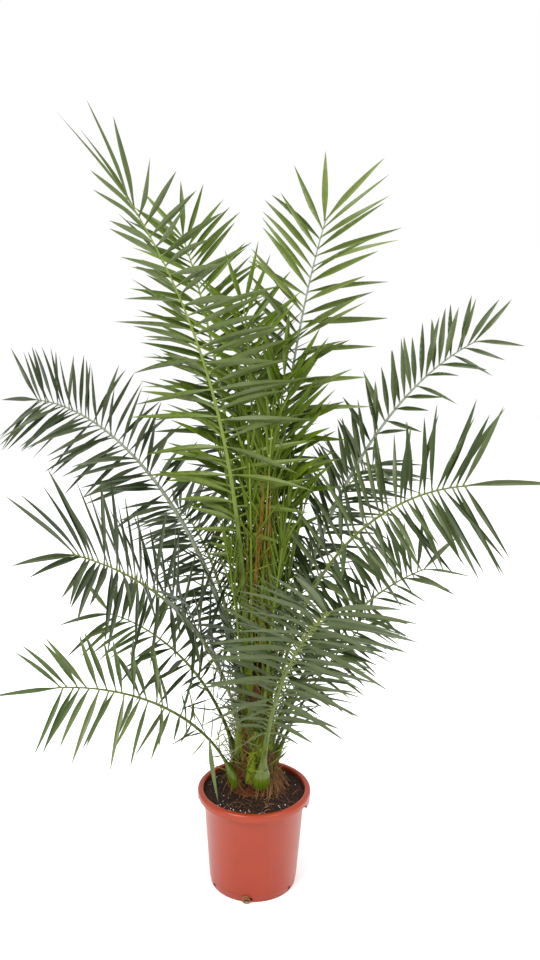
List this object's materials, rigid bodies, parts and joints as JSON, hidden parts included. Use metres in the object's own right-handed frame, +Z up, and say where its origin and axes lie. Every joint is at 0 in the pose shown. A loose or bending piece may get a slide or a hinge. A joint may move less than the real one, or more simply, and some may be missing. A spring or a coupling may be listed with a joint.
{
  "type": "potted date palm",
  "caption": "Young date palm in a round plastic nursery pot: a swollen fibrous stem on dark soil with long feathered fronds that stand at the top and arch out round the sides.",
  "frame": {"origin": "centre of the pot's flat underside", "axes": "+Z up along the pot's axis; -Y is the front, where the lowest frond hangs over the pot's rim; +X is to the right of it"},
  "size_m": [1.4217, 1.2566, 1.8302],
  "materials": {
    "pot": "terracotta-coloured plastic with a soft gloss",
    "soil": "damp dark potting compost",
    "stem": "fibrous brown leaf bases",
    "leaf": "dull green leaf with a faint sheen",
    "young_leaf": "fresh yellow-green leaf",
    "old_leaf": "dull grey-green leaf"
  },
  "bodies": {
    "root": {"pot": "pot", "soil": "soil", "stem": "stem", "frond_tall_left": "leaf", "frond_tall_back_left": "leaf", "frond_tall_right": "leaf", "frond_young_left": "young_leaf", "frond_young_right": "young_leaf", "frond_left": "leaf", "frond_left_front": "leaf", "frond_right": "leaf", "frond_right_front": "leaf", "frond_right_back": "leaf", "frond_back": "leaf", "frond_back_right": "leaf", "frond_back_left": "leaf", "frond_low_front": "old_leaf", "frond_low_left": "old_leaf", "frond_low_right": "old_leaf", "frond_low_back": "old_leaf", "frond_low_back_left": "old_leaf", "frond_low_back_right": "old_leaf"}
  },
  "joints": []
}
